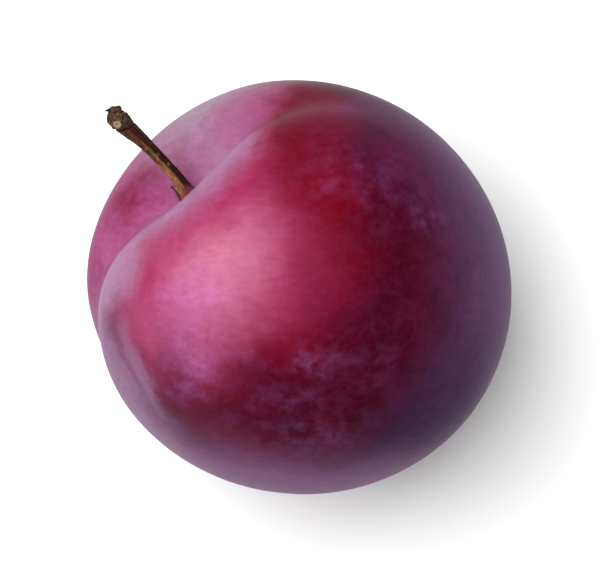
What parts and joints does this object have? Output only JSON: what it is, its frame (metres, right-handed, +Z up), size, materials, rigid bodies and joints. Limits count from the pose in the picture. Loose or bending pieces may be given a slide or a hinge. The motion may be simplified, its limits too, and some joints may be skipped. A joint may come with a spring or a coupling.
{
  "type": "plum",
  "caption": "Ripe purple-red dessert plum with a stalk hollow, a suture groove and its woody stalk, lying on its cheek.",
  "frame": {"origin": "middle of the small flat on the cheek that the fruit rests on", "axes": "+Z up from the table; the stalk points up and away, towards -X and +Y"},
  "size_m": [0.0559, 0.0545, 0.057],
  "materials": {
    "skin": "taut crimson to violet skin, satin, with a pale bloom of wax",
    "bark": "dry brown bark, ribbed, dark and rough at the knob"
  },
  "bodies": {
    "root": {"fruit": "skin", "stem": "bark"}
  },
  "joints": []
}
